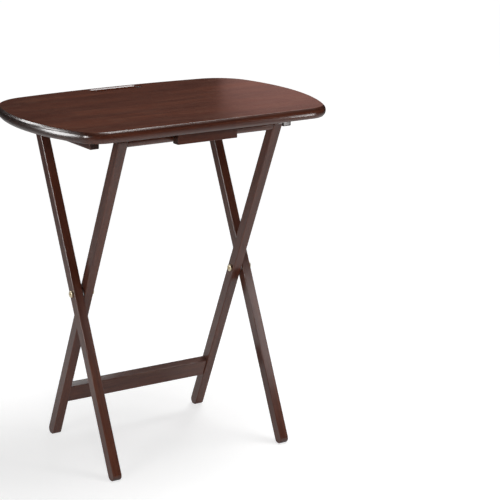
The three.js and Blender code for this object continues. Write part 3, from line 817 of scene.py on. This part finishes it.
# ---------------------------------------------------------------- wood under the top
def screw_holes(screws):
    """Cutters for the shank and the sunk head of each screw."""
    cutters = []
    for name in screws:
        low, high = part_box(name)
        x, y = (low.x + high.x) / 2, (low.y + high.y) / 2
        mouth = low.z - SCREW_RECESS - CUTTER_OVERRUN
        head_end = low.z + SCREW_HEAD_DEPTH + GAP
        cutters.append(bore_along_z(SCREW_HOLE, mouth, high.z + CUTTER_OVERRUN, x, y, SMALL_BORE_SIDES))
        cutters.append(bore_along_z(SCREW_HEAD_HOLE, mouth, head_end, x, y, BORE_SIDES))
    return cutters


def batten(side, seed):
    low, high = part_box(f"batten_{side}")
    size = high - low
    sizes = (size.y, size.x, size.z, BATTEN_ROUNDING)
    bar = board(f"{side}_batten", (low + high) / 2, Y_AXIS, Z_AXIS, *sizes)
    screws = [f"batten_screw_{side}_{where}" for where in BATTEN_SCREWS]
    cut(bar, [*screw_holes(screws), through_bore(low, high, TOP_PIVOT)])
    place(bar, "tray_top", f"batten_{side}", wood_finish(f"batten_walnut_{side}", seed))


def catch_block(seed):
    low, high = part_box("catch_block")
    rail, _ = middle_and_half(*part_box("top_rail"))
    cove_radius = RAIL_DIAMETER / 2 + CATCH_CLEARANCE
    cove = arc(rail.y, rail.z, cove_radius, HALF_TURN, HALF_TURN - COVE_TURN, COVE_STEPS)
    upper_end = cove[-1]
    outline = [(low.y, low.z), (cove[0][0], low.z), *cove, (upper_end[0], high.z), (low.y, high.z)]
    middle, half = middle_and_half(low, high)
    bm = prism([(y - middle.y, z - middle.z) for y, z in outline], 2 * half.x, CATCH_ROUNDING)
    # the prism's x and y are the block's y and z, and its length runs along x
    bm.transform(basis(Y_AXIS, Z_AXIS, X_AXIS))
    block = new_object("rail_catch_block", bm, Matrix.Translation((0, middle.y, middle.z)))
    cut(block, screw_holes(["catch_screw_left", "catch_screw_right"]))
    place(block, "tray_top", "catch_block", wood_finish("catch_walnut", seed))


# ---------------------------------------------------------------- legs, rail and stretcher
def leg_frame(x, lean):
    """A leg's own axes: x up along it, y across it, z along the world's x. The origin is at the cross."""
    along = Vector((0, math.sin(lean), math.cos(lean)))
    return basis(along, X_AXIS.cross(along), X_AXIS, (x, CROSS.y, CROSS.z))


def leg_outline(reach, lean):
    """Round at both ends, with a small flat on the foot that is level when the table stands open."""
    radius = LEG_WIDTH / 2
    foot = (CROSS.z - radius + FOOT_FLAT_DROP) / math.cos(lean)
    half_flat = math.acos((radius - FOOT_FLAT_DROP) / radius)
    floor_turn = HALF_TURN + lean
    return (
        arc(reach, 0, radius, -QUARTER_TURN, QUARTER_TURN, LEG_END_STEPS)
        + arc(-foot, 0, radius, QUARTER_TURN, floor_turn - half_flat, FOOT_STEPS)
        + arc(-foot, 0, radius, floor_turn + half_flat, HALF_TURN + QUARTER_TURN, FOOT_STEPS)
    )


def leg(node_name, piece_name, body, lean, bores, seed):
    low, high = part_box(node_name)
    middle, half = middle_and_half(low, high)
    reach = (high.z - LEG_WIDTH / 2 - CROSS.z) / math.cos(lean)
    shape = prism(leg_outline(reach, lean), 2 * half.x, LEG_ROUNDING, LEG_ROUNDING_STEPS)
    obj = new_object(piece_name, shape, leg_frame(middle.x, lean))
    cut(obj, bores(low, high))
    place(obj, body, node_name, wood_finish(f"{piece_name}_walnut", seed))


def blind_bore(diameter, face, inward, depth, centre, sides):
    """A cutter for a blind hole along x. inward is 1 or -1, the way into the piece."""
    start, stop = face - inward * CUTTER_OVERRUN, face + inward * depth
    return bore_along_x(diameter, start, stop, centre.y, centre.z, sides)


def dowel_bores(side, face, inward, depth):
    """Cutters for the two stretcher dowels of one side."""
    cutters = []
    for level in DOWEL_LEVELS:
        dowel, _ = middle_and_half(*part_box(f"stretcher_dowel_{side}_{level}"))
        cutters.append(blind_bore(DOWEL_HOLE, face, inward, depth, dowel, SMALL_BORE_SIDES))
    return cutters


def outer_bores(low, high):
    return [through_bore(low, high, CROSS), through_bore(low, high, TOP_PIVOT)]


def inner_bores(low, high):
    rail, _ = middle_and_half(*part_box("top_rail"))
    side, outward, face = ("right", 1, low.x) if low.x > 0 else ("left", -1, high.x)
    return [
        through_bore(low, high, CROSS),
        blind_bore(TENON_DIAMETER + 2 * GAP, face, outward, TENON_LENGTH + GAP, rail, BORE_SIDES),
        *dowel_bores(side, face, outward, DOWEL_HOLE_IN_LEG),
    ]


def top_rail(seed):
    """A round rail with eased shoulders and a round tenon on each end."""
    middle, half = middle_and_half(*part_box("top_rail"))
    rail_radius, tenon_radius = RAIL_DIAMETER / 2, TENON_DIAMETER / 2
    shoulder = half.x - TENON_LENGTH
    right = [
        (shoulder - RAIL_EASE, rail_radius),
        (shoulder - RAIL_EASE_KNEE, rail_radius - RAIL_EASE_KNEE),
        (shoulder, rail_radius - RAIL_EASE),
        (shoulder, tenon_radius),
        (half.x - RAIL_EASE, tenon_radius),
        (half.x, tenon_radius - RAIL_EASE),
        (half.x, 0),
    ]
    profile = [(-x, radius) for x, radius in reversed(right)] + right
    rail = new_object("round_top_rail", lathe(profile, RAIL_SIDES), Matrix.Translation(middle))
    place(rail, "inner_frame", "top_rail", wood_finish("rail_walnut", seed))


def bottom_stretcher(seed):
    low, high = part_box("bottom_stretcher")
    up = Vector((0, -math.sin(LEAN), math.cos(LEAN)))
    sizes = (high.x - low.x, STRETCHER_THICKNESS, STRETCHER_WIDTH, STRETCHER_ROUNDING)
    bar = board("lower_stretcher", (low + high) / 2, X_AXIS, up, *sizes)
    left = dowel_bores("left", low.x, 1, DOWEL_HOLE_IN_STRETCHER)
    right = dowel_bores("right", high.x, -1, DOWEL_HOLE_IN_STRETCHER)
    cut(bar, left + right)
    place(bar, "inner_frame", "bottom_stretcher", wood_finish("stretcher_walnut", seed))


# ---------------------------------------------------------------- fasteners
def head_side(node_name):
    """1 if the head is at the higher x, else -1. Bolt heads face outwards, and sleeve nuts inwards."""
    side = 1 if node_name.endswith("right") else -1
    return side if "bolt" in node_name else -side


def head_height_of(node_name):
    """The head's height, read from the CAD mesh: how far its rim reaches along the pin."""
    low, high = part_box(node_name)
    middle, half = middle_and_half(low, high)
    face = high.x if head_side(node_name) > 0 else low.x
    rim_from = RIM_FROM * half.z
    points = [vert.co for vert in frame["nodes"][node_name].data.vertices]
    return max(abs(p.x - face) for p in points if math.hypot(p.y - middle.y, p.z - middle.z) > rim_from)


def hex_socket(start, stop, centre):
    """A six-sided cutter between two places on x."""
    corner = SOCKET_ACROSS_FLATS / 2 / math.cos(HALF_TURN / SOCKET_SIDES)
    points = arc(centre.y, centre.z, corner, 0, FULL_TURN, SOCKET_SIDES)[:-1]
    bm = bmesh.new()
    lower, upper = ([bm.verts.new((x, y, z)) for y, z in points] for x in sorted((start, stop)))
    capped(bm, lower, upper)
    return bm


def pin_profile(radius, head_height, shank_radius, length):
    """(x, radius) points: a low domed head with a rounded rim, then a plain shank."""
    rim_start = radius - HEAD_RIM
    return [
        (0, 0),
        *((depth * HEAD_CROWN, out * radius) for depth, out in CROWN_POINTS),
        *((HEAD_CROWN + depth * HEAD_RIM, rim_start + out * HEAD_RIM) for depth, out in RIM_POINTS),
        (HEAD_CROWN + RIM_END * HEAD_RIM, radius),
        (head_height - HEAD_BACK_CHAMFER, radius),
        (head_height, radius - HEAD_BACK_CHAMFER),
        (head_height, shank_radius),
        (length - SHANK_END_CHAMFER, shank_radius),
        (length, shank_radius - SHANK_END_CHAMFER),
        (length, 0),
    ]


def headed_pin(node_name, piece_name, body, shank, hollow, material):
    """A bolt, or a hollow sleeve nut: a low round head with a hex socket, and a plain shank."""
    low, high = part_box(node_name)
    middle, half = middle_and_half(low, high)
    length = 2 * half.x
    outward = head_side(node_name)
    face = high.x if outward > 0 else low.x
    head_height = head_height_of(node_name)
    bm = lathe(pin_profile(half.z, head_height, shank / 2, length), HEAD_SIDES)
    bm.transform(Matrix.Scale(-outward, 4, X_AXIS))
    pin = new_object(piece_name, bm, Matrix.Translation((face, middle.y, middle.z)))
    cutters = [hex_socket(face + outward * SOCKET_OVERRUN, face - outward * SOCKET_DEPTH, middle)]
    if hollow:
        floor = face - outward * (head_height + SLEEVE_FLOOR)
        mouth = face - outward * (length + CUTTER_OVERRUN)
        cutters.append(bore_along_x(SLEEVE_BORE, floor, mouth, middle.y, middle.z))
    cut(pin, cutters)
    place(pin, body, node_name, material)


def pivot_pins(pivot, side, material):
    """The bolt and the sleeve nut of one pivot."""
    body = PIVOT_BODIES[pivot]
    headed_pin(f"{pivot}_bolt_{side}", f"{pivot}_pivot_bolt_{side}", body, BOLT_SHANK, False, material)
    headed_pin(f"{pivot}_sleeve_nut_{side}", f"{pivot}_pivot_nut_{side}", body, SLEEVE, True, material)


def washer(pivot, side, material):
    node_name = f"{pivot}_washer_{side}"
    middle, half = middle_and_half(*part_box(node_name))
    bm = ring_body(PIVOT_BORE / 2, half.z, half.x, WASHER_SOFTENING, WASHER_SIDES)
    disc = new_object(f"{pivot}_pivot_washer_{side}", bm, Matrix.Translation(middle))
    place(disc, PIVOT_BODIES[pivot], node_name, material)


def screw_profile(length):
    """(x, radius) points: a countersunk head, a plain neck, and a ringed thread."""
    head, shank = SCREW_HEAD / 2, SCREW_SHANK / 2
    plain, root = PLAIN_SHANK * shank, THREAD_ROOT * shank
    profile = [
        (0, 0),
        (0, head - SCREW_RIM_CHAMFER),
        (SCREW_RIM_START, head),
        (SCREW_RIM_END, head),
        (SCREW_HEAD_DEPTH + SCREW_NECK, plain),
        (THREAD_START, plain),
    ]
    x = THREAD_START
    while x < length - SCREW_TIP:
        profile += [(x + THREAD_RISE * THREAD_PITCH, root), (x + THREAD_CREST * THREAD_PITCH, shank)]
        x += THREAD_PITCH
        profile.append((x, root))
    return [*profile, (length, 0)]


def wood_screw(node_name, material):
    """A countersunk screw, head down, with a cross recess."""
    low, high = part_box(node_name)
    middle, half = middle_and_half(low, high)
    bm = lathe(screw_profile(2 * half.z), SCREW_SIDES)
    bm.transform(Matrix.Rotation(-QUARTER_TURN, 4, "Y"))
    head_place = Matrix.Translation((middle.x, middle.y, low.z))
    screw = new_object(node_name.replace("screw", "wood_screw"), bm, head_place)
    arms = []
    for turn in (0, QUARTER_TURN):
        arm = bmesh.new()
        bmesh.ops.create_cube(arm, size=1)
        arm.transform(head_place @ Matrix.Rotation(turn, 4, "Z") @ Matrix.Diagonal((*DRIVE_SLOT, 1)))
        arms.append(arm)
    cut(screw, arms)
    place(screw, "tray_top", node_name, material)


# ---------------------------------------------------------------- studio
def studio_floor():
    """A pale floor that glows: to the camera more the further out, so that it looks white far out and
    keeps soft shadows under the table, and to other rays a little near the table, as bounce light.
    """
    bm = bmesh.new()
    bmesh.ops.create_circle(bm, cap_ends=True, segments=FLOOR_SIDES, radius=FLOOR_RADIUS)
    floor = new_object("studio_floor", bm)
    floor.location.z = -FLOOR_DROP
    material, tree, shader = new_material("pale_floor")
    geometry = node(tree, "ShaderNodeNewGeometry").outputs
    distance = vector_math(tree, "LENGTH", geometry["Position"], output="Value")
    seen = node(tree, "ShaderNodeLightPath").outputs["Is Camera Ray"]
    glow = math_node(tree, "MULTIPLY", remap(tree, distance, GLOW_RANGE, *GLOW_STRENGTH), seen)
    unseen = math_node(tree, "SUBTRACT", 1, seen)
    bounce = math_node(tree, "MULTIPLY", remap(tree, distance, BOUNCE_RANGE, *BOUNCE_STRENGTH), unseen)
    strength = math_node(tree, "ADD", glow, bounce)
    set_inputs(tree, shader, {"Base Color": FLOOR_GREY, "Emission Strength": strength, **FLOOR_LOOK})
    # from below the floor can be seen through
    clear = node(tree, "ShaderNodeBsdfTransparent").outputs["BSDF"]
    sides = {0: geometry["Backfacing"], 1: shader.outputs["BSDF"], 2: clear}
    surface = node(tree, "ShaderNodeMixShader", sides).outputs[0]
    set_inputs(tree, tree.nodes["output"], {"Surface": surface})
    floor.data.materials.append(material)


def studio_world():
    """White to the camera, and nearly dark as a light."""
    world = bpy.data.worlds.new("studio")
    world.use_nodes = True
    tree = world.node_tree
    tree.nodes.clear()
    seen = node(tree, "ShaderNodeLightPath").outputs["Is Camera Ray"]
    white = {"Color": (*WHITE, 1)}
    room, backdrop = (
        node(tree, "ShaderNodeBackground", {**white, "Strength": strength}).outputs[0]
        for strength in (ROOM_BRIGHTNESS, 1)
    )
    both = node(tree, "ShaderNodeMixShader", {0: seen, 1: room, 2: backdrop}).outputs[0]
    node(tree, "ShaderNodeOutputWorld", {"Surface": both})
    bpy.context.scene.world = world


def soft_box(name, position, aim, width, height, radiance, shape=SQUARE, colour=WHITE):
    light = bpy.data.lights.new(name, "AREA")
    light.shape = shape
    light.size, light.size_y = width, height
    light.energy = radiance * math.pi * width * height
    light.color = colour
    lamp = bpy.data.objects.new(name, light)
    bpy.context.scene.collection.objects.link(lamp)
    lamp.location = position
    lamp.rotation_mode = "QUATERNION"
    lamp.rotation_quaternion = (Vector(aim) - Vector(position)).to_track_quat("-Z", "Y")
    lamp.visible_camera = False
    return lamp


def fill_light(name, *settings):
    """A soft light that leaves no reflection of its own."""
    soft_box(name, *settings).visible_glossy = False


def card(name, *settings):
    """A white card that shows only as a reflection and adds no light of its own to dull surfaces."""
    lamp = soft_box(name, *settings)
    lamp.visible_diffuse = False
    return lamp


def level_card(name, start, stop, width, radiance, facing):
    """A narrow level card, seen only from above (facing 1) or only from below (facing -1)."""
    start, stop = Vector(start), Vector(stop)
    middle = (start + stop) / 2
    back = -facing * Z_AXIS
    along = (stop - start).normalized()
    lamp = card(name, middle, middle - back, width, (stop - start).length, radiance)
    lamp.rotation_quaternion = basis(along.cross(back), along, back).to_quaternion()


def studio_lights():
    for make, table in ((soft_box, SOFT_BOXES), (fill_light, FILL_LIGHTS), (card, CARDS)):
        for name, settings in table.items():
            make(name, *settings)
    for name, settings in LEVEL_CARDS.items():
        level_card(name, *settings)
    card("top_glare", *TOP_GLARE)


def photo_camera():
    data = bpy.data.cameras.new("camera")
    data.sensor_width = SENSOR
    data.lens = LENS
    camera = bpy.data.objects.new("camera", data)
    bpy.context.scene.collection.objects.link(camera)
    level = math.cos(CAMERA_ELEVATION)
    x, y = math.sin(CAMERA_AZIMUTH) * level, -math.cos(CAMERA_AZIMUTH) * level
    back = Vector((x, y, math.sin(CAMERA_ELEVATION)))
    right = Z_AXIS.cross(back).normalized()
    up = back.cross(right)
    cosine, sine = math.cos(CAMERA_ROLL), math.sin(CAMERA_ROLL)
    rolled_right, rolled_up = cosine * right + sine * up, cosine * up - sine * right
    camera.matrix_world = basis(rolled_right, rolled_up, back, CAMERA_PLACE)
    bpy.context.scene.camera = camera


# ---------------------------------------------------------------- build
# the last number of a wooden piece is its seed, so that no two show the same grain
tray_panel(3)
batten("left", 11)
batten("right", 17)
catch_block(23)
leg("outer_leg_left", "outer_left_leg", "outer_frame", LEAN, outer_bores, 31)
leg("outer_leg_right", "outer_right_leg", "outer_frame", LEAN, outer_bores, 37)
leg("inner_leg_left", "inner_left_leg", "inner_frame", -LEAN, inner_bores, 41)
leg("inner_leg_right", "inner_right_leg", "inner_frame", -LEAN, inner_bores, 47)
top_rail(53)
bottom_stretcher(59)

BRASS = metal_finish("pivot_brass", BRASS_COLOURS, BRASS_ROUGHNESS)
STEEL = metal_finish("screw_steel", STEEL_COLOURS, STEEL_ROUGHNESS)
DOWEL = dowel_finish("dowel_beech")
for side in ("left", "right"):
    for pivot in PIVOT_BODIES:
        pivot_pins(pivot, side, BRASS)
    for pivot in PIVOT_BODIES:
        washer(pivot, side, STEEL)
    for where in BATTEN_SCREWS:
        wood_screw(f"batten_screw_{side}_{where}", STEEL)
    wood_screw(f"catch_screw_{side}", STEEL)
    for level in DOWEL_LEVELS:
        frame["nodes"][f"stretcher_dowel_{side}_{level}"].material_slots[0].material = DOWEL

studio_floor()
studio_world()
studio_lights()
photo_camera()
bpy.context.scene.view_settings.view_transform = "Standard"
